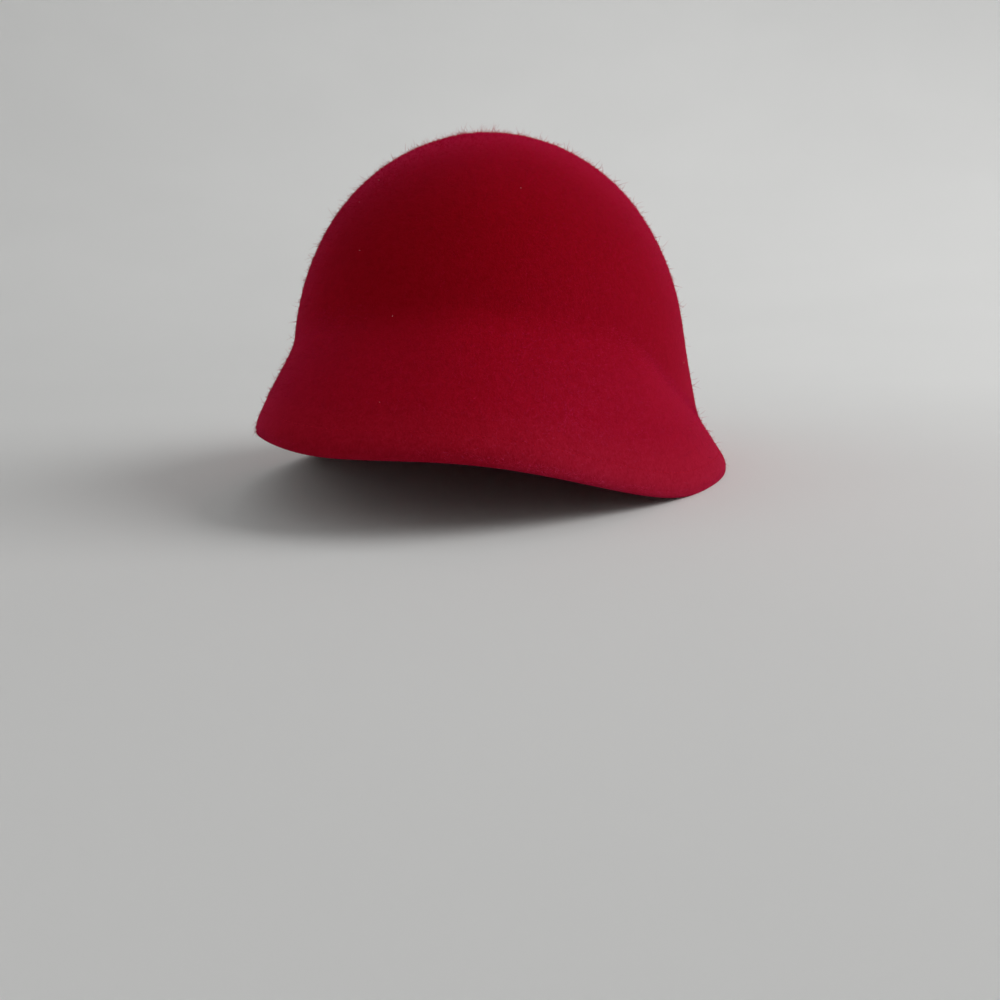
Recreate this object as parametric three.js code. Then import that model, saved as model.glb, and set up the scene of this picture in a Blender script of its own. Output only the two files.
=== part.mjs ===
// A soft felt cap in one piece: a plain domed crown that bends out, along an arched crease, into a sloping
// peak at the front and a narrow turned brim at the sides and back.
// Millimetres, +Z up. The peak points along -Y, and the edge of the cap rests on z = 0.
import * as THREE from "three";

// Crown, upright on its own axis before the cap leans forward
const CROWN_HALF_WIDTH = 86.6;
const CROWN_HALF_LENGTH = 100;
const DOME_DEPTH = 94.5; // from the top down to where the dome has become a wall
const WALL_SPREAD = 0.1; // how fast the wall widens lower down at the sides
const SPREAD_FROM = 0.4; // share of the dome's depth where the widening begins
const TOP_HEIGHT = 152; // top of the crown's axis above the surface the cap rests on
const LEAN = THREE.MathUtils.degToRad(10);

// Felt
const FELT = 2.2;
const EDGE_FELT = 3; // the turned edge is a little thicker
const HEM_FROM = 0.75; // share of the peak's width where the felt starts to thicken
const PRESSED = 1; // how much of the rounded edge is pressed flat where the cap rests
const FELT_COLOR = 0x8c0f20;

// Sections from the middle of the front (azimuth 0) round to the middle of the back, alike on both sides.
// Columns: height of the crease, reach of the edge past the crown's oval, height of the edge, and how far
// the bend at the crease runs to each side of it.
const SECTIONS = [
  { azimuth: 0, crease: 76.2, reach: 43, edge: 29.5, bend: 4.5 },
  { azimuth: 20, crease: 76.2, reach: 38, edge: 29, bend: 4.5 },
  { azimuth: 40, crease: 71.2, reach: 28.8, edge: 20.2, bend: 4.5 },
  { azimuth: 60, crease: 61.4, reach: 25, edge: 9.2, bend: 4 },
  { azimuth: 80, crease: 43.3, reach: 23, edge: 2.2, bend: 3.5 },
  { azimuth: 100, crease: 26, reach: 21.5, edge: 0, bend: 3 },
  { azimuth: 120, crease: 18, reach: 14.5, edge: 0, bend: 3 },
  { azimuth: 150, crease: 14, reach: 8, edge: 0, bend: 3 },
  { azimuth: 180, crease: 13, reach: 6, edge: 0, bend: 3 },
];

// The peak sits slightly askew: what the left half of the front gains, the right half loses
const SKEW = [
  { azimuth: 0, crease: 0, reach: 0, edge: 0 },
  { azimuth: 20, crease: 1.5, reach: 3.8, edge: -1.6 },
  { azimuth: 40, crease: 2.9, reach: 5.6, edge: -5.9 },
  { azimuth: 60, crease: 3.6, reach: 4.3, edge: -7 },
  { azimuth: 80, crease: 1.2, reach: 2.6, edge: -2.4 },
  { azimuth: 100, crease: 0, reach: 0, edge: 0 },
  { azimuth: 120, crease: 0, reach: 0, edge: 0 },
  { azimuth: 180, crease: 0, reach: 0, edge: 0 },
];

// Handles of the peak's curve, as shares of its reach and its drop
const PEAK_START = { out: 0.28, down: 0.32 };
const PEAK_END = { out: 0.9, down: 0.7 };
const BEND_SHARE = 0.4; // the most of the peak's width that the bend may round off

// Mesh
const AROUND = 64;
const CROWN_STEPS = 16;
const BEND_STEPS = 4;
const PEAK_STEPS = 9;
const EDGE_STEPS = 6;

// A smooth curve through one column of a table, level at the front and at the back
function columnCurve(table, column) {
  const x = table.map((row) => row.azimuth);
  const y = table.map((row) => row[column]);
  const last = x.length - 1;
  const slope = new Array(x.length).fill(0);
  const weight = new Array(x.length).fill(0);
  for (let i = 1; i < last; i++) {
    const before = 1 / (x[i] - x[i - 1]);
    const after = 1 / (x[i + 1] - x[i]);
    const pull = 3 * (before ** 2 * (y[i] - y[i - 1]) + after ** 2 * (y[i + 1] - y[i]));
    const pivot = 2 * (before + after) - before * weight[i - 1];
    weight[i] = after / pivot;
    slope[i] = (pull - before * slope[i - 1]) / pivot;
  }
  for (let i = last - 1; i > 0; i--) {
    slope[i] -= weight[i] * slope[i + 1];
  }
  return (azimuth) => {
    const at = Math.abs(azimuth);
    const i = Math.min(Math.max(x.findIndex((knot) => knot >= at) - 1, 0), last - 1);
    const span = x[i + 1] - x[i];
    const t = (at - x[i]) / span;
    const rise = (1 - t) ** 2 * (1 + 2 * t) * y[i] + t ** 2 * (3 - 2 * t) * y[i + 1];
    return rise + span * t * (1 - t) * ((1 - t) * slope[i] - t * slope[i + 1]);
  };
}

// One column of the sections, with the skew added on the left and taken away on the right
function skewedCurve(column) {
  const even = columnCurve(SECTIONS, column);
  const askew = columnCurve(SKEW, column);
  return (azimuth) => even(azimuth) + Math.sign(azimuth) * askew(azimuth);
}

const creaseHeight = skewedCurve("crease");
const edgeReach = skewedCurve("reach");
const edgeHeight = skewedCurve("edge");
const bendLength = columnCurve(SECTIONS, "bend");

function ovalRadius(angle) {
  const across = CROWN_HALF_LENGTH * Math.sin(angle);
  const along = CROWN_HALF_WIDTH * Math.cos(angle);
  return (CROWN_HALF_WIDTH * CROWN_HALF_LENGTH) / Math.hypot(across, along);
}

// Share of the oval's radius that the crown has at a depth below its top
function domeShare(depth, angle) {
  const share = Math.min(depth / DOME_DEPTH, 1);
  const round = Math.sqrt(1 - (1 - share) ** 2);
  const below = Math.max(depth / DOME_DEPTH - SPREAD_FROM, 0);
  return round + WALL_SPREAD * (below * Math.sin(angle)) ** 2;
}

// Depth below the top, along the crown's axis, of the point at a height above the resting surface
function depthAt(height, radius, angle) {
  const forward = radius * Math.cos(angle);
  return (TOP_HEIGHT - forward * Math.sin(LEAN) - height) / Math.cos(LEAN);
}

// One section of the outer face from under the top down to the edge, as (radius, depth) points
function sectionProfile(azimuth) {
  const angle = THREE.MathUtils.degToRad(azimuth);
  const oval = ovalRadius(angle);
  const edgeRadius = oval + edgeReach(azimuth);
  const edgeZ = Math.max(edgeHeight(azimuth), 0);
  const creaseDepth = depthAt(creaseHeight(azimuth), oval, angle);
  const edgeDepth = depthAt(edgeZ + EDGE_FELT / 2 - PRESSED, edgeRadius, angle);
  const onCrown = (depth) => new THREE.Vector2(oval * domeShare(depth, angle), depth);
  const crease = onCrown(creaseDepth);
  const out = edgeRadius - crease.x;
  const down = edgeDepth - crease.y;
  const peak = new THREE.CubicBezierCurve(
    crease,
    new THREE.Vector2(crease.x + PEAK_START.out * out, crease.y + PEAK_START.down * down),
    new THREE.Vector2(crease.x + PEAK_END.out * out, crease.y + PEAK_END.down * down),
    new THREE.Vector2(edgeRadius, edgeDepth),
  );
  const half = bendLength(azimuth);
  const crownEnd = creaseDepth - half;
  const peakStart = Math.min(half / peak.getLength(), BEND_SHARE);
  const bend = new THREE.QuadraticBezierCurve(onCrown(crownEnd), crease, peak.getPointAt(peakStart));
  const points = [];
  for (let i = 1; i <= CROWN_STEPS; i++) {
    points.push(onCrown(crownEnd * (1 - Math.cos(((i / CROWN_STEPS) * Math.PI) / 2))));
  }
  for (let i = 1; i <= BEND_STEPS; i++) {
    points.push(bend.getPoint(i / BEND_STEPS));
  }
  for (let i = 1; i <= PEAK_STEPS; i++) {
    points.push(peak.getPointAt(THREE.MathUtils.lerp(peakStart, 1, i / PEAK_STEPS)));
  }
  return points;
}

// From the crown's own axis to the leaning cap
function placed(radius, depth, angle) {
  return new THREE.Vector3(radius * Math.sin(angle), -radius * Math.cos(angle), -depth)
    .applyAxisAngle(new THREE.Vector3(1, 0, 0), LEAN)
    .add(new THREE.Vector3(0, 0, TOP_HEIGHT));
}

// The outer face as rings of points, each ring going once round the cap
function outerRings() {
  const steps = CROWN_STEPS + BEND_STEPS + PEAK_STEPS;
  const rings = Array.from({ length: steps }, () => []);
  for (let i = 0; i < AROUND; i++) {
    const azimuth = (360 * i) / AROUND;
    const turn = azimuth > 180 ? azimuth - 360 : azimuth;
    const angle = THREE.MathUtils.degToRad(turn);
    sectionProfile(turn).forEach((point, j) => rings[j].push(placed(point.x, point.y, angle)));
  }
  return rings;
}

// Direction down the section, and the outward normal, at one point of the outer face
function surfaceAt(rings, top, j, i) {
  const above = j > 0 ? rings[j - 1][i] : top;
  const below = rings[Math.min(j + 1, rings.length - 1)][i];
  const down = below.clone().sub(above).normalize();
  const next = rings[j][(i + 1) % AROUND];
  const previous = rings[j][(i + AROUND - 1) % AROUND];
  const along = next.clone().sub(previous);
  const normal = down.clone().cross(along).normalize();
  return { down, normal };
}

function feltThickness(j) {
  const first = CROWN_STEPS + BEND_STEPS;
  const share = (j + 1 - first) / PEAK_STEPS;
  return THREE.MathUtils.lerp(FELT, EDGE_FELT, THREE.MathUtils.smoothstep(share, HEM_FROM, 1));
}

// The inner face, one felt thickness in from the outer face
function innerRings(outer, top) {
  return outer.map((ring, j) => {
    const inset = -feltThickness(j);
    return ring.map((point, i) => point.clone().addScaledVector(surfaceAt(outer, top, j, i).normal, inset));
  });
}

// The rounded edge between the two faces
function edgeRings(outer, top) {
  const last = outer.length - 1;
  const radius = EDGE_FELT / 2;
  const rings = [];
  for (let k = 1; k < EDGE_STEPS; k++) {
    const turn = (Math.PI * k) / EDGE_STEPS;
    rings.push(
      outer[last].map((point, i) => {
        const { down, normal } = surfaceAt(outer, top, last, i);
        return point
          .clone()
          .addScaledVector(normal, radius * (Math.cos(turn) - 1))
          .addScaledVector(down, radius * Math.sin(turn));
      }),
    );
  }
  return rings;
}

// A closed skin over rings that run from one pole to the other
function closedSkin(firstPole, rings, lastPole) {
  const points = [firstPole, ...rings.flat(), lastPole];
  const triangles = [];
  const at = (j, i) => 1 + j * AROUND + (i % AROUND);
  const final = points.length - 1;
  for (let i = 0; i < AROUND; i++) {
    triangles.push(0, at(0, i), at(0, i + 1));
    for (let j = 0; j + 1 < rings.length; j++) {
      triangles.push(at(j, i), at(j + 1, i), at(j + 1, i + 1));
      triangles.push(at(j, i), at(j + 1, i + 1), at(j, i + 1));
    }
    triangles.push(at(rings.length - 1, i), final, at(rings.length - 1, i + 1));
  }
  const geometry = new THREE.BufferGeometry().setFromPoints(points);
  geometry.setIndex(triangles);
  return geometry;
}

// The whole cap: outer face, rounded edge pressed flat where it rests, inner face
function feltCap() {
  const top = placed(0, 0, 0);
  const outer = outerRings();
  const inner = innerRings(outer, top);
  const innerTop = placed(0, FELT, 0);
  const rings = [...outer, ...edgeRings(outer, top), ...inner.reverse()];
  for (const point of rings.flat()) {
    point.z = Math.max(point.z, 0);
  }
  const geometry = closedSkin(top, rings, innerTop);
  geometry.computeBoundingBox();
  const middle = geometry.boundingBox.getCenter(new THREE.Vector3());
  geometry.translate(-middle.x, -middle.y, 0);
  geometry.computeVertexNormals();
  const felt = new THREE.MeshStandardMaterial({ color: FELT_COLOR, roughness: 0.95, metalness: 0 });
  const cap = new THREE.Mesh(geometry, felt);
  cap.name = "felt_cap";
  return cap;
}

const cap = new THREE.Group();
cap.add(feltCap());

export default cap;
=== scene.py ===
import math

import bpy
import numpy as np
from mathutils import Matrix, Vector, noise


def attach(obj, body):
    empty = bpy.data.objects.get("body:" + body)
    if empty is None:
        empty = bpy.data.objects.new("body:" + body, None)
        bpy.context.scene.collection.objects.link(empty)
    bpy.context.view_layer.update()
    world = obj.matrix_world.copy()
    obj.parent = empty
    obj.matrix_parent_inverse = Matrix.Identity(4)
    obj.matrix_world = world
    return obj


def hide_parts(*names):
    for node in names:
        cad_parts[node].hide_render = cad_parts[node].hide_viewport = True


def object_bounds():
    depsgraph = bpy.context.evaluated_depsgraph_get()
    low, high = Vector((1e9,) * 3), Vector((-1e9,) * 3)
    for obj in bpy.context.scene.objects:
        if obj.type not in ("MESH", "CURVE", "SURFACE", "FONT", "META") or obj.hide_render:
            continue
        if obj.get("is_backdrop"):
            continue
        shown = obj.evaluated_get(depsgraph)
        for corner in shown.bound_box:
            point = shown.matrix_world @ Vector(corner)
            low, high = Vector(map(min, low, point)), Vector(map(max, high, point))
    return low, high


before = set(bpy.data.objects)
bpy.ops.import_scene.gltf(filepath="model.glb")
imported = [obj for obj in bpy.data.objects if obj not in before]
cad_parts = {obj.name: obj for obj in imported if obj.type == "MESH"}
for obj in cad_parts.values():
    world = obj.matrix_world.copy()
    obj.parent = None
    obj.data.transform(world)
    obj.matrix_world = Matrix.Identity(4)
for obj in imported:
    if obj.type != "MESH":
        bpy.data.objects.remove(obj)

# A crimson felt cap with a soft peak, resting on its edge on a pale floor. Sizes are in metres.
MM = 0.001
CAP_NODE = "felt_cap"
BODY = "root"

# Camera, standing to the cap as in the photograph; angles in degrees
CAMERA_PLACE = (0.1927, -0.4300, 0.0927)
CAMERA_TURN = 23.49  # from straight ahead of the peak towards the wearer's left
CAMERA_DOWN = 12.87
CAMERA_ROLL = -1.39
LENS = 36.0
SENSOR = 36.0
CLIP_START = 0.01

# Felt shell
CAD_OUTER_RINGS = 29  # rings of the CAD shell between the top of the crown and the edge
CAD_CREASE_RING = 18  # the one that follows the crease
COLUMNS = 288
UPPER_ROWS = 84
HEM_ROWS = 32
EDGE_ROWS = 9
FELT = 2.2 * MM
HEM_FELT = 3.2 * MM
HEM_FINE = 16 * MM  # height of the finely divided band above the edge
HEM_TURN = 10.8 * MM  # how far up the inside the turned edge reaches
HEM_STEP = 1.0 * MM  # over which the turned edge's thickness runs out

# Stitch line, measured up the outer face from the edge
STITCH_UP = 9.6 * MM
STITCH_PITCH = 2.4 * MM
STITCH_LENGTH = 1.1 * MM
STITCH_RADIUS = 0.16 * MM
GROOVE_DEPTH = 0.03 * MM
GROOVE_WIDTH = 0.8 * MM
PUFF_UP = 4.5 * MM  # the hem is fullest here
PUFF_HEIGHT = 0.4 * MM
PUFF_WIDTH = 4 * MM
ROLL_UP = 3 * MM  # below this the edge rolls under
ROLL_DEPTH = 0.4 * MM

# Multipliers of the felt's red, green and blue, by the height above the crease: the crown above the crease
# is darker as painted shade, the peak below it paler and pinker as painted light and sheen, and the top of
# the crown paler and pinker as a painted sheen
CREASE_SHADING_TINTS = (
    (-55 * MM, 0.97, 1.7, 1.65),
    (-30 * MM, 0.94, 1.5, 1.5),
    (-8 * MM, 0.94, 1.2, 1.3),
    (8 * MM, 0.87, 0.9, 1.0),
    (40 * MM, 0.80, 0.6, 0.7),
    (75 * MM, 0.77, 0.6, 0.75),
    (120 * MM, 0.86, 1.2, 1.2),
)
# The same along the hem, by the height up from the edge: the hem is paler and pinker as painted light and
# sheen, and the rolled edge a little darker as painted shade
HEM_SHADING_TINTS = (
    (0 * MM, 0.95, 1.8, 1.4),
    (4 * MM, 1.03, 2.0, 1.4),
    (12 * MM, 1.03, 1.7, 1.25),
    (25 * MM, 1.00, 1.0, 1.0),
)
# The same from side to side, by the distance to the wearer's left, the side where the key light falls: that
# side is painted rosier as a painted sheen, and the other side duller
SIDE_SHEEN_TINTS = (
    (-90 * MM, 1.00, 0.7, 0.75),
    (-30 * MM, 1.00, 0.85, 0.9),
    (40 * MM, 1.00, 1.0, 1.05),
    (80 * MM, 1.00, 1.6, 1.6),
    (110 * MM, 1.00, 1.7, 1.6),
)
# Just below the crease, towards the wearer's right, the felt is painted paler as painted light, where the
# peak faces up to the light: height above the crease, spread, and where along x this begins and is full
CREASE_PAINTED_LIGHT = {"gain": 0.14, "height": -7 * MM, "spread": 13 * MM, "start": 5 * MM, "full": -65 * MM}

# Unevenness of the blocked felt: wavelength and height
SWELLS = ((60 * MM, 0.35 * MM), (22 * MM, 0.12 * MM))

SEED = 84


def rings_of(node):
    """The CAD shell's outer face as rings of points, from the top of the crown to the edge."""
    mesh = node.data
    places = np.array([v.co for v in mesh.vertices])
    places, same = np.unique(places.round(7), axis=0, return_inverse=True)
    mesh.calc_loop_triangles()
    corners = same.ravel()[np.array([t.vertices for t in mesh.loop_triangles])]
    neighbours = [set() for _ in places]
    for triangle in corners:
        for vertex in triangle:
            neighbours[vertex].update(triangle)
    most = max(len(n) for n in neighbours)
    poles = [i for i, n in enumerate(neighbours) if len(n) == most]
    ring = {max(poles, key=lambda i: places[i][2])}
    reached = set(ring)
    rings = []
    for _ in range(CAD_OUTER_RINGS + 1):
        rings.append(in_turn(places[sorted(ring)]))
        ring = set().union(*(neighbours[i] for i in ring)) - reached
        reached |= ring
    rings[0] = np.repeat(rings[0], len(rings[1]), axis=0)
    return np.array(rings)


def in_turn(ring):
    """The points of one ring in order round the cap, starting at the front."""
    middle = ring.mean(axis=0)
    half_step = math.pi / len(ring)
    angle = np.arctan2(ring[:, 0] - middle[0], middle[1] - ring[:, 1])
    return ring[np.argsort((angle + half_step) % (2 * math.pi))]


def spread_round(rings, count):
    """The rings with count points each, on closed cubic splines through the given points."""
    given = rings.shape[1]
    wave = np.fft.fft(rings, axis=1)
    soften = (2 + np.cos(2 * math.pi * np.arange(given) / given)) / 3
    knots = np.fft.ifft(wave / soften[None, :, None], axis=1).real
    at = np.arange(count) * given / count
    first = np.floor(at).astype(int)
    t = (at - first)[None, :, None]
    weights = (
        (1 - t) ** 3 / 6,
        (3 * t**3 - 6 * t**2 + 4) / 6,
        (-3 * t**3 + 3 * t**2 + 3 * t + 1) / 6,
        t**3 / 6,
    )
    return sum(w * knots[:, (first + k - 1) % given] for k, w in enumerate(weights))


class Sections:
    """Smooth curves down the outer face, one for each column, by length from the top of the crown."""

    OVER = 3  # points past the top that carry a curve on to the other side

    def __init__(self, rings):
        opposite = np.roll(rings[1 : self.OVER + 1], rings.shape[1] // 2, axis=1)[::-1]
        self.points = np.concatenate([opposite, rings]).transpose(1, 0, 2)
        steps = np.linalg.norm(np.diff(self.points, axis=1), axis=2)
        knots = np.concatenate([np.zeros((len(steps), 1)), np.cumsum(steps, axis=1)], axis=1)
        self.start = knots[:, self.OVER : self.OVER + 1]
        self.knots = knots
        self.length = knots[:, -1] - self.start[:, 0]
        self.steps = steps
        self.bends = self.solve()

    def length_to(self, ring):
        """Lengths from the top of the crown to one of the given rings."""
        return self.knots[:, self.OVER + ring] - self.start[:, 0]

    def solve(self):
        """Second derivatives at the points of each natural cubic spline."""
        columns, count = self.knots.shape
        before, after = self.steps[:, :-1], self.steps[:, 1:]
        matrix = np.zeros((columns, count, count))
        inner = np.arange(1, count - 1)
        matrix[:, 0, 0] = 1
        matrix[:, -1, -1] = 1
        matrix[:, inner, inner - 1] = before
        matrix[:, inner, inner] = 2 * (before + after)
        matrix[:, inner, inner + 1] = after
        slopes = np.diff(self.points, axis=1) / self.steps[:, :, None]
        right = np.zeros_like(self.points)
        right[:, 1:-1] = 6 * np.diff(slopes, axis=1)
        return np.linalg.solve(matrix, right)

    def at(self, lengths):
        """Points at the lengths given for each column, as rows from the top down."""
        where = lengths + self.start
        column = np.arange(len(where))[:, None]
        k = (where[:, :, None] >= self.knots[:, None, 1:-1]).sum(axis=2)
        step = self.steps[column, k]
        t = ((where - self.knots[column, k]) / step)[..., None]
        flat = (1 - t) * self.points[column, k] + t * self.points[column, k + 1]
        low = ((1 - t) ** 3 - (1 - t)) * self.bends[column, k]
        high = (t**3 - t) * self.bends[column, k + 1]
        return (flat + (low + high) * (step[..., None] ** 2) / 6).transpose(1, 0, 2)


def smooth_step(x, start, end):
    t = np.clip((x - start) / (end - start), 0, 1)
    return t * t * (3 - 2 * t)


def from_table(table, x):
    """The values beside x in a table whose first column is x."""
    given, *columns = zip(*table)
    return np.stack([np.interp(x, given, values) for values in columns], axis=-1)


def bump(x, middle, width):
    return np.exp(-(((x - middle) / width) ** 2))


def unit(vectors):
    return vectors / np.maximum(np.linalg.norm(vectors, axis=-1, keepdims=True), 1e-12)


def outward(rows):
    """Outward normals of a grid of rows that run from the top down."""
    down = np.gradient(rows, axis=0)
    along = np.roll(rows, -1, axis=1) - np.roll(rows, 1, axis=1)
    normal = unit(np.cross(down, along))
    normal[0] = unit(normal[1].mean(axis=0))
    return normal


def swell(place):
    """Height of the felt's gentle unevenness at one place."""
    return sum(height * noise.noise(Vector(place) / length) for length, height in SWELLS)


def hem_relief(up):
    """Height of the puffed, rolled hem and its stitch groove, by the distance up from the edge."""
    puff = PUFF_HEIGHT * bump(up, PUFF_UP, PUFF_WIDTH)
    roll = ROLL_DEPTH * np.maximum(1 - up / ROLL_UP, 0) ** 2
    return puff - roll - GROOVE_DEPTH * bump(up, STITCH_UP, GROOVE_WIDTH)


def felt_thickness(up):
    """Thickness of the felt, with the turned edge inside, by the distance up from the edge."""
    return HEM_FELT + (FELT - HEM_FELT) * smooth_step(up, HEM_TURN, HEM_TURN + HEM_STEP)


class Shell:
    """The felt as rows of points: down the outer face, round the edge, and up the inside."""

    def __init__(self, node):
        sections = Sections(spread_round(rings_of(node), COLUMNS))
        length = sections.length[:, None]
        upper = np.linspace(0, 1, UPPER_ROWS + 1)[None, :] * (length - HEM_FINE)
        hem = length - np.linspace(HEM_FINE, 0, HEM_ROWS + 1)[None, 1:]
        lengths = np.concatenate([upper, hem], axis=1)
        self.up = (length - lengths).T
        self.crease_up = sections.length - sections.length_to(CAD_CREASE_RING)
        plain = sections.at(lengths)
        normal = outward(plain)
        relief = np.array([swell(p) for p in plain.reshape(-1, 3)]).reshape(self.up.shape)
        relief = relief * smooth_step(self.up, 0, HEM_FINE) + hem_relief(self.up)
        relief[0] = relief[0].mean()
        self.outer = plain + normal * relief[..., None]
        self.normal = outward(self.outer)
        self.down = unit(np.gradient(self.outer, axis=0))
        self.edge = self.edge_rows()
        self.inner = self.inner_rows()

    def edge_rows(self):
        """The rounded edge between the two faces."""
        radius = HEM_FELT / 2
        last, normal, down = self.outer[-1], self.normal[-1], self.down[-1]
        turns = np.arange(1, EDGE_ROWS) * math.pi / EDGE_ROWS
        return np.array(
            [last + normal * radius * (math.cos(a) - 1) + down * radius * math.sin(a) for a in turns]
        )

    def inner_rows(self):
        """The inside, from the edge back up to the top, with coarser rows above the hem."""
        inset = self.outer - self.normal * felt_thickness(self.up)[..., None]
        keep = np.concatenate([np.arange(0, UPPER_ROWS, 2), np.arange(UPPER_ROWS, len(inset))])
        return inset[keep][::-1]

    def rows(self):
        rows = np.concatenate([self.outer, self.edge, self.inner])
        rows[..., 2] = np.maximum(rows[..., 2], 0)
        return rows

    def tints(self):
        """Colour multipliers of the felt for the same rows, by the crease, the hem and the side: painted
        shade, painted light and painted sheen.
        """
        inside = np.full(self.inner.shape[:2], HEM_SHADING_TINTS[-1][0])
        up = np.concatenate([self.up, np.zeros(self.edge.shape[:2]), inside])
        across = np.concatenate([self.outer, self.edge, self.inner])[..., 0]
        # painted shade, light and sheen by the crease and the hem, and painted sheen by the side
        tint = from_table(CREASE_SHADING_TINTS, up - self.crease_up) * from_table(HEM_SHADING_TINTS, up)
        tint *= from_table(SIDE_SHEEN_TINTS, across)
        # painted light just below the crease, towards the wearer's right
        crease_light = bump(up - self.crease_up, CREASE_PAINTED_LIGHT["height"], CREASE_PAINTED_LIGHT["spread"])
        crease_light *= 1 - smooth_step(across, CREASE_PAINTED_LIGHT["full"], CREASE_PAINTED_LIGHT["start"])
        tint *= 1 + CREASE_PAINTED_LIGHT["gain"] * crease_light[..., None]
        return np.concatenate([tint, np.ones(up.shape + (1,))], axis=2)

    def density(self):
        """Share of the fibres that stand free, for the same rows."""
        free = 1 - PRESSED_FLAT * bump(self.up - self.crease_up, 0, PRESSED_WIDTH)
        free *= 1 - TOP_SPARSE * bump(self.up[0] - self.up, 0, TOP_WIDTH)
        rest = np.ones((len(self.edge) + len(self.inner), COLUMNS))
        return np.concatenate([free, rest])


def skin_values(rows):
    """Values of the rows in the order of the closed skin's points."""
    return np.concatenate([rows[0, :1], rows[1:-1].reshape(-1, rows.shape[2]), rows[-1, :1]])


def closed_skin(rows):
    """Points and faces of a closed skin over rows that begin and end in one point each."""
    count, columns = len(rows) - 2, rows.shape[1]
    points = skin_values(rows)
    last = len(points) - 1
    beside = [(a, (a + 1) % columns) for a in range(columns)]
    faces = [(0, 1 + a, 1 + b) for a, b in beside]
    for j in range(count - 1):
        above, below = 1 + j * columns, 1 + (j + 1) * columns
        faces += [(above + a, below + a, below + b, above + b) for a, b in beside]
    base = 1 + (count - 1) * columns
    faces += [(base + a, last, base + b) for a, b in beside]
    return points, faces


def piece(name, points, faces, material):
    """A mesh object of the cap, riding on its body."""
    mesh = bpy.data.meshes.new(name)
    mesh.from_pydata(np.asarray(points).tolist(), [], faces)
    mesh.polygons.foreach_set("use_smooth", [True] * len(mesh.polygons))
    mesh.materials.append(material)
    made = bpy.data.objects.new(name, mesh)
    bpy.context.scene.collection.objects.link(made)
    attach(made, BODY)
    return made


def tint_piece(made, tints):
    """Gives a piece its colour multipliers, one for each point."""
    layer = made.data.attributes.new(TINT, "FLOAT_COLOR", "POINT")
    layer.data.foreach_set("color", tints.ravel())


def fibre_piece(name, grown, material):
    """A piece of fine fibres, with normals and tints that blend it into the felt under it, the tints'
    painted shade, light and sheen included.
    """
    points, faces, normals, tints = grown
    made = piece(name, points, faces, material)
    made.data.normals_split_custom_set_from_vertices(normals.tolist())
    made.visible_shadow = False  # fine wool lets the light through
    tint_piece(made, tints)


# Materials

TINT = "tint"
FELT_DEEP = (0.270, 0.0006, 0.0038, 1)
FELT_RED = (0.345, 0.0011, 0.0063, 1)
FELT_PALE = (0.430, 0.0028, 0.0126, 1)
SHEEN_TINT = (1.0, 0.03, 0.175, 1)
FIBRE_DEEP = (0.320, 0.0012, 0.0070, 1)
FIBRE_PALE = (0.490, 0.0050, 0.0210, 1)
THREAD_RED = (0.400, 0.0040, 0.0140, 1)
THREAD_PALE = (0.480, 0.0080, 0.0240, 1)
LINT_ROSE = (0.62, 0.20, 0.22, 1)
LINT_PALE = (0.80, 0.52, 0.50, 1)
FELT_SHEEN = {"Sheen_Weight": 0.5, "Sheen_Roughness": 0.38, "Sheen_Tint": SHEEN_TINT}
FIBRE_SHEEN = {"Sheen_Weight": 0.3, "Sheen_Roughness": 0.4, "Sheen_Tint": SHEEN_TINT}
# Light that passes through a fibre: its share, how deep it goes, and that depth for red, green and blue
FIBRE_GLOW = {
    "Subsurface_Weight": 0.6,
    "Subsurface_Scale": 0.2 * MM,
    "Subsurface_Radius": (1.0, 0.3, 0.4),
}
# Scales of the noise patterns, in cells a metre
CLOUDS = 28
MOTTLE = 330
GRAIN = 1300
FIBRE_TONES = 900
THREAD_PLY = 2200
LINT_TONES = 1500
BRUSHED = (1, 1, 0.6)  # the grain is drawn out down the cap
SPOT_SHARE = 0.55
GRAIN_SHARE = 0.45
PILL_HEIGHT = 0.35 * MM
GRAIN_HEIGHT = 0.2 * MM
PLY_HEIGHT = 0.1 * MM


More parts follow.
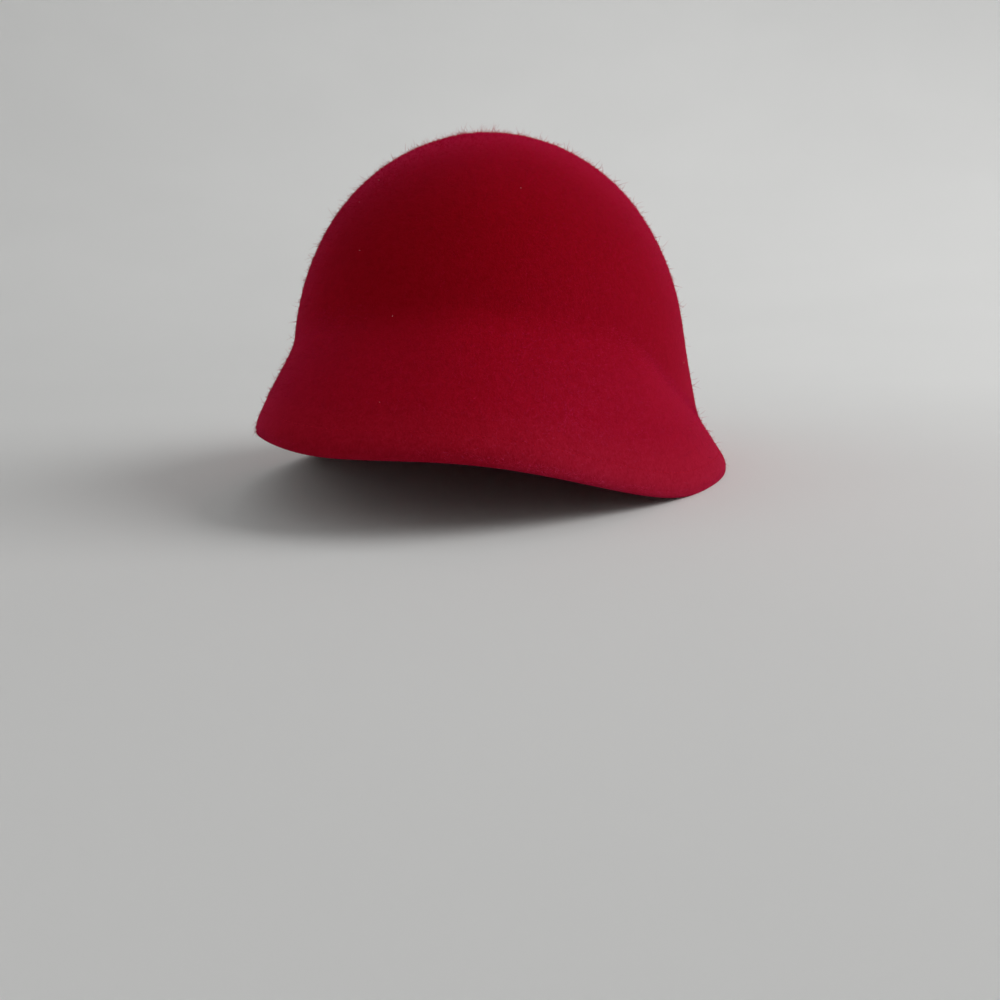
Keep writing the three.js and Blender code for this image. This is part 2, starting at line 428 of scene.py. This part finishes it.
class Material:
    """A Principled material with short ways to add its nodes."""

    def __init__(self, name):
        self.material = bpy.data.materials.new(name)
        self.material.use_nodes = True
        self.tree = self.material.node_tree
        self.shader = self.tree.nodes["Principled BSDF"]

    def set(self, **values):
        for name, value in values.items():
            self.shader.inputs[name.replace("_", " ")].default_value = value

    def node(self, kind, **values):
        made = self.tree.nodes.new(kind)
        for name, value in values.items():
            made.inputs[name].default_value = value
        return made

    def link(self, source, target):
        self.tree.links.new(source, target)

    def places(self, scale=(1, 1, 1)):
        """Coordinates of the frame, stretched along the axes with a small scale."""
        coordinates = self.node("ShaderNodeTexCoord")
        mapping = self.node("ShaderNodeMapping", Scale=scale)
        self.link(coordinates.outputs["Object"], mapping.inputs["Vector"])
        return mapping.outputs["Vector"]

    def noise(self, places, scale, detail=4, roughness=0.55):
        made = self.node("ShaderNodeTexNoise", Scale=scale, Detail=detail, Roughness=roughness)
        self.link(places, made.inputs["Vector"])
        return made.outputs["Fac"]

    def ramp(self, factor, *stops):
        """A colour ramp over (position, colour) stops."""
        made = self.node("ShaderNodeValToRGB")
        elements = made.color_ramp.elements
        while len(elements) < len(stops):
            elements.new(1.0)
        for element, (position, color) in zip(elements, stops):
            element.position = position
            element.color = color
        self.link(factor, made.inputs["Fac"])
        return made.outputs["Color"]

    def mix(self, factor, first, second, blend="MIX"):
        made = self.tree.nodes.new("ShaderNodeMix")
        made.data_type = "RGBA"
        made.blend_type = blend
        made.inputs["Factor"].default_value = factor
        self.link(first, made.inputs["A"])
        self.link(second, made.inputs["B"])
        return made.outputs["Result"]

    def tinted(self, color):
        """The colour times the multipliers that the piece carries."""
        tint = self.tree.nodes.new("ShaderNodeAttribute")
        tint.attribute_name = TINT
        return self.mix(1.0, color, tint.outputs["Color"], blend="MULTIPLY")

    def bump(self, height, distance, strength=1.0, under=None):
        made = self.node("ShaderNodeBump", Distance=distance, Strength=strength)
        self.link(height, made.inputs["Height"])
        if under is not None:
            self.link(under, made.inputs["Normal"])
        return made.outputs["Normal"]


def felt_material():
    """Matt wool felt: mottled crimson with a brushed, slightly pilled nap and a soft sheen."""
    felt = Material("felt")
    even = felt.places()
    brushed = felt.places(scale=BRUSHED)
    cloud = felt.noise(even, scale=CLOUDS, detail=3)
    mottle = felt.noise(even, scale=MOTTLE, detail=5, roughness=0.6)
    grain = felt.noise(brushed, scale=GRAIN, detail=3, roughness=0.7)
    broad = felt.ramp(cloud, (0.30, FELT_DEEP), (0.70, FELT_RED))
    spots = felt.ramp(mottle, (0.30, FELT_DEEP), (0.52, FELT_RED), (0.74, FELT_PALE))
    streaks = felt.ramp(grain, (0.32, FELT_DEEP), (0.68, FELT_PALE))
    color = felt.mix(GRAIN_SHARE, felt.mix(SPOT_SHARE, broad, spots), streaks)
    felt.link(felt.tinted(color), felt.shader.inputs["Base Color"])
    pilled = felt.bump(mottle, distance=PILL_HEIGHT, strength=0.5)
    napped = felt.bump(grain, distance=GRAIN_HEIGHT, strength=0.7, under=pilled)
    felt.link(napped, felt.shader.inputs["Normal"])
    felt.set(Roughness=0.95, Specular_IOR_Level=0.02, **FELT_SHEEN)
    return felt.material


def fibre_material():
    """Loose wool fibres, a little paler than the felt that they stand on, which let some light through."""
    fibre = Material("felt_fibre")
    tone = fibre.noise(fibre.places(), scale=FIBRE_TONES, detail=2)
    color = fibre.ramp(tone, (0.3, FIBRE_DEEP), (0.7, FIBRE_PALE))
    fibre.link(fibre.tinted(color), fibre.shader.inputs["Base Color"])
    fibre.set(Roughness=0.95, Specular_IOR_Level=0.0, **FIBRE_SHEEN, **FIBRE_GLOW)
    return fibre.material


def thread_material():
    """Sewing thread in the felt's own red, slightly paler, with a twisted ply."""
    thread = Material("hem_thread")
    ply = thread.noise(thread.places(), scale=THREAD_PLY, detail=2)
    color = thread.ramp(ply, (0.3, THREAD_RED), (0.7, THREAD_PALE))
    thread.link(color, thread.shader.inputs["Base Color"])
    thread.link(thread.bump(ply, distance=PLY_HEIGHT), thread.shader.inputs["Normal"])
    thread.set(Roughness=0.9, Specular_IOR_Level=0.02, **FELT_SHEEN)
    return thread.material


def lint_material():
    """Specks of pale dust and stray fibre caught in the nap."""
    lint = Material("lint")
    tone = lint.noise(lint.places(), scale=LINT_TONES, detail=2)
    color = lint.ramp(tone, (0.35, LINT_ROSE), (0.65, LINT_PALE))
    lint.link(color, lint.shader.inputs["Base Color"])
    lint.set(Roughness=0.9, Specular_IOR_Level=0.1)
    return lint.material


# Fibres

# Kinds of fibre. Lean is the most that one leans from the felt's normal, in degrees, and curl is how far it
# bows sideways. Round is how far it takes the light on its own round shape, and not as the felt under it.
# Gain is how pale it is.
NAP = {
    "length": (0.4 * MM, 1.0 * MM),
    "radius": 0.065 * MM,
    "lean": 62,
    "round": 0.6,
    "gain": 0.97,
}
FRINGE = {
    "length": (0.7 * MM, 2.0 * MM),
    "radius": 0.065 * MM,
    "lean": 55,
    "round": 0.8,
    "gain": 1.02,
}
TUFT = {
    "length": (1.0 * MM, 2.6 * MM),
    "radius": 0.076 * MM,
    "lean": 55,
    "curl": 0.6,
    "round": 1,
    "gain": 0.93,
}
STRAY = {
    "length": (2.6 * MM, 5.8 * MM),
    "radius": 0.072 * MM,
    "lean": 56,
    "curl": 0.9,
    "round": 1,
    "gain": 0.93,
}
LINT = {
    "length": (0.4 * MM, 0.9 * MM),
    "radius": 0.11 * MM,
    "lean": 80,
    "curl": 0.6,
    "round": 0,
    "gain": 1,
}
CROWN_NAP = 48000
PEAK_NAP = 44000
INSIDE_NAP = 16000
FRINGES = 6500
FRINGE_ROWS = 6  # rows of the hem that the fringe covers above the edge
TUFTS = 7800
STRAYS = 1100
PRESSED_FLAT = 0.35  # share of the fibres that the crease has pressed into the felt
PRESSED_WIDTH = 7 * MM
TOP_SPARSE = 0.7  # share of the fibres that is missing at the top, where the crown is rubbed
TOP_WIDTH = 65 * MM
DOWN_SHARE = 0.6  # how strongly the fibres lean down the face
FIBRE_SINK = 0.08 * MM  # depth of a fibre's root in the felt
LAID = 0.05 * MM  # least height of a fibre that is laid flat on the floor
SPIKE_SIDES = 3
SPIKE_FACES = ((0, 1, 3), (1, 2, 3), (2, 0, 3), (2, 1, 0))  # points 0 to 2 are the foot, and 3 is the tip
STRAND_STEPS = 4
STRAND_SIDES = 3
STRAND_TAPER = 0.6
BOW = 0.35  # how far a strand bows, as a share of its length
BOW_RISE = (-0.6, 0.3)  # range of the bow along the felt's normal
# Specks of lint that show from the front: turn from ahead of the peak in degrees, height up from the edge
SEEN_LINT = (
    (-30, 106 * MM),
    (-30, 120 * MM),
    (43, 127.5 * MM),
    (1, 64 * MM),
    (94.5, 54 * MM),
    (-14, 87 * MM),
    (5, 22 * MM),
)


class Ground:
    """Rows of a face that fibres grow from, sampled by area and by the density there."""

    def __init__(self, rows, tints, density):
        self.a, self.b = rows[:-1], np.roll(rows, -1, axis=1)[:-1]
        self.c, self.d = rows[1:], np.roll(rows, -1, axis=1)[1:]
        cross = np.cross(self.c - self.a, self.d - self.b)
        grown = np.linalg.norm(cross, axis=2) * density[:-1]
        self.normal = unit(cross)
        self.tint = tints[:-1]
        self.down = unit(self.c - self.a)
        self.share = (grown / grown.sum()).ravel()
        self.shape = grown.shape

    def sample(self, random, count):
        """Places, normals, downward directions and tints of count random points."""
        cell = random.choice(len(self.share), size=count, p=self.share)
        j, i = np.unravel_index(cell, self.shape)
        u, v = random.random((2, count, 1))
        top = self.a[j, i] * (1 - u) + self.b[j, i] * u
        bottom = self.c[j, i] * (1 - u) + self.d[j, i] * u
        return top * (1 - v) + bottom * v, self.normal[j, i], self.down[j, i], self.tint[j, i]


class Places:
    """Single places on the outer face, given by turn and by height up from the edge."""

    def __init__(self, shell, places):
        column = np.array([round(turn / 360 * COLUMNS) % COLUMNS for turn, _ in places])
        height = np.array([up for _, up in places])
        row = np.abs(shell.up[:, column] - height).argmin(axis=0)
        grids = (shell.outer, shell.normal, shell.down, shell.tints())
        self.found = tuple(grid[row, column] for grid in grids)

    def sample(self, random, count):
        return self.found


def leaning(random, normal, down, lean):
    """Directions that lean from the normal, most of them down the face."""
    count = len(normal)
    angle = np.radians(lean) * np.sqrt(random.random((count, 1)))
    sideways = unit(random.normal(size=(count, 3)) + DOWN_SHARE * down)
    sideways = unit(sideways - normal * (sideways * normal).sum(axis=1, keepdims=True))
    return unit(normal * np.cos(angle) + sideways * np.sin(angle)), sideways


def frame_of(direction, random):
    """Two directions across each given direction."""
    across = unit(np.cross(direction, random.normal(size=direction.shape)))
    return across, np.cross(direction, across)


def spikes(random, ground, count, kind):
    """Straight short fibres, each a closed spike of four triangles."""
    root, normal, down, tint = ground.sample(random, count)
    direction, _ = leaning(random, normal, down, kind["lean"])
    length = random.uniform(*kind["length"], size=(count, 1))
    tip = root + direction * length
    tip[:, 2] = np.maximum(tip[:, 2], LAID)
    side, other = frame_of(direction, random)
    foot = root - direction * FIBRE_SINK
    foot[:, 2] = np.maximum(foot[:, 2], 0)
    turns = [2 * math.pi * s / SPIKE_SIDES for s in range(SPIKE_SIDES)]
    out = [side * math.cos(a) + other * math.sin(a) for a in turns]
    points = np.stack([*(foot + kind["radius"] * o for o in out), tip], axis=1)
    points[..., 2] = np.maximum(points[..., 2], 0)
    lit = unit(normal[:, None] + kind["round"] * np.stack([*out, direction], axis=1))
    return like_fibres(points, SPIKE_FACES, lit, kind["gain"] * tint)


def strands(random, ground, count, kind):
    """Longer fibres that curl, each a closed tapering tube."""
    root, normal, down, tint = ground.sample(random, count)
    direction, sideways = leaning(random, normal, down, kind["lean"])
    length = random.uniform(*kind["length"], size=(count, 1))
    curl = kind["curl"] * random.normal(size=(count, 1))
    side = np.cross(direction, sideways)
    bow = unit(side * curl + normal * random.uniform(*BOW_RISE, size=(count, 1)))
    across, other = frame_of(direction, random)
    rings = []
    out = []
    for k in range(STRAND_STEPS):
        t = k / STRAND_STEPS
        middle = root + direction * (length * t - FIBRE_SINK * (1 - t)) + bow * length * BOW * t * t
        radius = kind["radius"] * (1 - STRAND_TAPER * t)
        for s in range(STRAND_SIDES):
            turn = 2 * math.pi * s / STRAND_SIDES
            out.append(across * math.cos(turn) + other * math.sin(turn))
            rings.append(middle + radius * out[-1])
    out.append(direction)
    rings.append(root + direction * length + bow * length * BOW)
    points = np.stack(rings, axis=1)
    lit = unit(normal[:, None] + kind["round"] * np.stack(out, axis=1))
    above = points[:, :, 2].min(axis=1) > 0
    return like_fibres(points[above], strand_pattern(), lit[above], kind["gain"] * tint[above])


def like_fibres(points, pattern, lit, tint):
    """Points, faces, normals and tints of fibres that all have one pattern of triangles."""
    count, each = points.shape[:2]
    first = np.arange(count)[:, None, None] * each
    faces = (first + np.array(pattern)[None]).reshape(-1, 3)
    return points.reshape(-1, 3), faces.tolist(), lit.reshape(-1, 3), np.repeat(tint, each, axis=0)


def strand_pattern():
    """Triangles of one strand: its closed root, its sides and its tip."""
    pattern = [tuple(reversed(range(STRAND_SIDES)))]
    tip = STRAND_STEPS * STRAND_SIDES
    for k in range(STRAND_STEPS):
        for s in range(STRAND_SIDES):
            a = k * STRAND_SIDES + s
            b = k * STRAND_SIDES + (s + 1) % STRAND_SIDES
            if k == STRAND_STEPS - 1:
                pattern.append((a, b, tip))
            else:
                pattern += [(a, b, b + STRAND_SIDES), (a, b + STRAND_SIDES, a + STRAND_SIDES)]
    return pattern


# Stitches along the hem

STITCH_SIDES = 6
STITCH_SKEW = 0.08  # scatter of the stitches across the line
STITCH_VARIES = (0.85, 1.1)  # range of their lengths
# Share of a stitch's length, and of its full radius there
STITCH_PROFILE = (
    (0.0, 0.0),
    (0.06, 0.62),
    (0.22, 0.95),
    (0.5, 1.0),
    (0.78, 0.95),
    (0.94, 0.62),
    (1.0, 0.0),
)


def hem_line(shell):
    """Points of the stitch line round the outer face, with the outward normals there."""
    row = np.abs(shell.up - STITCH_UP).argmin(axis=0)
    column = np.arange(COLUMNS)
    return shell.outer[row, column], shell.normal[row, column]


def even_places(points, pitch):
    """Places at an even pitch round a closed line: index of a point and share of the way to the next."""
    step = np.linalg.norm(np.roll(points, -1, axis=0) - points, axis=1)
    total = step.sum()
    count = round(total / pitch)
    at = np.arange(count) * total / count
    start = np.concatenate([[0], np.cumsum(step)[:-1]])
    index = np.searchsorted(start, at, side="right") - 1
    return index, (at - start[index]) / step[index]


def stitches(random, shell):
    """A row of short stitches lying in the groove, each a closed tapered capsule."""
    line, normals = hem_line(shell)
    index, share = even_places(line, STITCH_PITCH)
    beside = (index + 1) % len(line)
    middle = line[index] + (line[beside] - line[index]) * share[:, None]
    normal = unit(normals[index] + normals[beside])
    along = unit(line[beside] - line[index])
    across = np.cross(normal, along)
    along = unit(along + across * random.normal(scale=STITCH_SKEW, size=(len(index), 1)))
    across = np.cross(normal, along)
    points, faces = [], []
    for k in range(len(index)):
        first = len(points)
        length = STITCH_LENGTH * random.uniform(*STITCH_VARIES)
        for t, width in STITCH_PROFILE:
            centre = middle[k] + along[k] * length * (t - 0.5)
            ring = 1 if width == 0 else STITCH_SIDES
            for s in range(ring):
                turn = 2 * math.pi * s / STITCH_SIDES
                out = across[k] * math.cos(turn) + normal[k] * math.sin(turn)
                points.append(centre + out * STITCH_RADIUS * width)
        faces += capsule_faces(first)
    return points, faces


def capsule_faces(first):
    """Faces of one stitch, from its first end point to its last."""
    rings = len(STITCH_PROFILE) - 2
    last = first + 1 + rings * STITCH_SIDES
    faces = []

    def at(ring, s):
        return first + 1 + ring * STITCH_SIDES + s % STITCH_SIDES

    for s in range(STITCH_SIDES):
        faces.append((first, at(0, s + 1), at(0, s)))
        faces.append((last, at(rings - 1, s), at(rings - 1, s + 1)))
        for ring in range(rings - 1):
            faces.append((at(ring, s), at(ring, s + 1), at(ring + 1, s + 1), at(ring + 1, s)))
    return faces


# Stage

FLOOR_FLAT = 0.5
FLOOR_STEPS = 8
COVE_RADIUS = 2.2
WALL_TOP = 2.6
COVE_STEPS = 40
FLOOR_SIDES = 96
FLOOR_COLOR = (0.76, 0.76, 0.75)
FLOOR_SHADE = 0.97  # its darker places, as a share of the colour
FLOOR_TONES = 2.5


def floor_material():
    """Pale matt paint with the faintest unevenness."""
    paint = Material("pale_floor")
    tone = paint.noise(paint.places(), scale=FLOOR_TONES, detail=2)
    dark = tuple(FLOOR_SHADE * c for c in FLOOR_COLOR) + (1,)
    color = paint.ramp(tone, (0.3, dark), (0.7, FLOOR_COLOR + (1,)))
    paint.link(color, paint.shader.inputs["Base Color"])
    paint.set(Roughness=0.9, Specular_IOR_Level=0.1)
    return paint.material


def make_floor():
    """A flat floor that curves up all round into a plain wall."""
    profile = [(FLOOR_FLAT * k / FLOOR_STEPS, 0.0) for k in range(1, FLOOR_STEPS + 1)]
    for k in range(1, COVE_STEPS + 1):
        turn = math.pi / 2 * k / COVE_STEPS
        profile.append((FLOOR_FLAT + COVE_RADIUS * math.sin(turn), COVE_RADIUS * (1 - math.cos(turn))))
    profile.append((FLOOR_FLAT + COVE_RADIUS, WALL_TOP))
    turns = [2 * math.pi * s / FLOOR_SIDES for s in range(FLOOR_SIDES)]
    points = [(0.0, 0.0, 0.0)]
    points += [(r * math.cos(a), r * math.sin(a), z) for r, z in profile for a in turns]

    def at(ring, s):
        return 1 + ring * FLOOR_SIDES + s % FLOOR_SIDES

    faces = [(0, at(0, s), at(0, s + 1)) for s in range(FLOOR_SIDES)]
    for ring in range(len(profile) - 1):
        for s in range(FLOOR_SIDES):
            faces.append((at(ring, s), at(ring + 1, s), at(ring + 1, s + 1), at(ring, s + 1)))
    mesh = bpy.data.meshes.new("floor")
    mesh.from_pydata(points, [], faces)
    mesh.polygons.foreach_set("use_smooth", [True] * len(mesh.polygons))
    mesh.materials.append(floor_material())
    floor = bpy.data.objects.new("floor", mesh)
    bpy.context.scene.collection.objects.link(floor)
    floor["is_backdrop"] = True


# Light and camera

AIM = Vector((0, 0, 0.08))
WORLD_COLOR = (0.98, 0.99, 1.0, 1)
WORLD_STRENGTH = 0.36
# Turn from ahead of the peak towards the wearer's left, height angle, distance, size, watts
LIGHTS = {
    "key": {"turn": 112, "height": 34, "distance": 1.9, "size": 1.5, "power": 20.6},
    "fill": {"turn": -60, "height": 30, "distance": 1.25, "size": 0.6, "power": 0.55},
}
# Wash of light on the wall behind the cap
WASH = {"place": (-0.1, 0.8, 1.7), "aim": (-0.5, 2.2, 0.7), "size": 0.8, "power": 7}


def direction(turn, height):
    """A direction by its turn from ahead of the peak and its height angle, in degrees."""
    a, e = math.radians(turn), math.radians(height)
    return Vector((math.sin(a) * math.cos(e), -math.cos(a) * math.cos(e), math.sin(e)))


def make_lights():
    """Even light all round, two soft lamps on the cap, and one on the wall."""
    world = bpy.data.worlds.new("studio")
    bpy.context.scene.world = world
    world.use_nodes = True
    background = world.node_tree.nodes["Background"]
    background.inputs["Color"].default_value = WORLD_COLOR
    background.inputs["Strength"].default_value = WORLD_STRENGTH
    for name, light in LIGHTS.items():
        place = AIM + direction(light["turn"], light["height"]) * light["distance"]
        make_lamp(name, place, AIM, light)
    make_lamp("wash", Vector(WASH["place"]), Vector(WASH["aim"]), WASH)


def make_lamp(name, place, aim, light):
    """A round soft lamp that shines from a place towards an aim."""
    data = bpy.data.lights.new(name, "AREA")
    data.shape = "DISK"
    data.size = light["size"]
    data.energy = light["power"]
    lamp = bpy.data.objects.new(name, data)
    lamp.visible_camera = False
    lamp.location = place
    lamp.rotation_euler = (aim - place).to_track_quat("-Z", "Y").to_euler()
    bpy.context.scene.collection.objects.link(lamp)


def make_camera():
    """A camera that stands to the cap as the photograph's did."""
    data = bpy.data.cameras.new("camera")
    data.lens = LENS
    data.sensor_width = SENSOR
    data.clip_start = CLIP_START
    camera = bpy.data.objects.new("camera", data)
    ahead = -direction(CAMERA_TURN, CAMERA_DOWN)
    right = ahead.cross(Vector((0, 0, 1))).normalized()
    up = right.cross(ahead)
    axes = Matrix((right, up, -ahead)).transposed().to_4x4()
    roll = Matrix.Rotation(math.radians(CAMERA_ROLL), 4, "Z")
    camera.matrix_world = Matrix.Translation(CAMERA_PLACE) @ axes @ roll
    bpy.context.scene.collection.objects.link(camera)
    bpy.context.scene.camera = camera


def make_cap():
    """The cap's pieces: the felt, its fibres and its stitches."""
    shell = Shell(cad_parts[CAP_NODE])
    rows = shell.rows()
    body = piece("felt_shell", *closed_skin(rows), felt_material())
    # the felt's colour multipliers, with their painted shade, light and sheen, which its fibres take on too
    tints = shell.tints()
    tint_piece(body, skin_values(tints))
    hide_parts(CAP_NODE)
    random = np.random.default_rng(SEED)
    fibre = fibre_material()
    peak_row = UPPER_ROWS // 2
    edge_row = len(shell.outer) + EDGE_ROWS // 2
    hem_row = len(shell.outer) - FRINGE_ROWS
    inner_row = len(shell.outer) + EDGE_ROWS
    density = shell.density()

    def ground(start, end):
        return Ground(rows[start:end], tints[start:end], density[start:end])

    crown = ground(1, peak_row + 1)
    peak = ground(peak_row, edge_row + 1)
    inside = ground(edge_row, -1)
    hem = ground(hem_row, inner_row)
    outside = ground(1, edge_row + 1)
    fibre_piece("felt_nap_crown", spikes(random, crown, CROWN_NAP, NAP), fibre)
    fibre_piece("felt_nap_peak", spikes(random, peak, PEAK_NAP, NAP), fibre)
    fibre_piece("felt_nap_inside", spikes(random, inside, INSIDE_NAP, NAP), fibre)
    fibre_piece("felt_fringe", spikes(random, hem, FRINGES, FRINGE), fibre)
    fibre_piece("felt_tufts", strands(random, outside, TUFTS, TUFT), fibre)
    fibre_piece("felt_strays", strands(random, outside, STRAYS, STRAY), fibre)
    lint = strands(random, Places(shell, SEEN_LINT), len(SEEN_LINT), LINT)
    fibre_piece("lint", lint, lint_material())
    piece("hem_stitches", *stitches(random, shell), thread_material())


def corners(box):
    return [list(corner) for corner in box]


cad_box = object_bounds()
make_camera()
make_cap()
make_floor()
make_lights()
bpy.context.scene.view_settings.view_transform = "Standard"
{"cad": corners(cad_box), "visual": corners(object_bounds())}
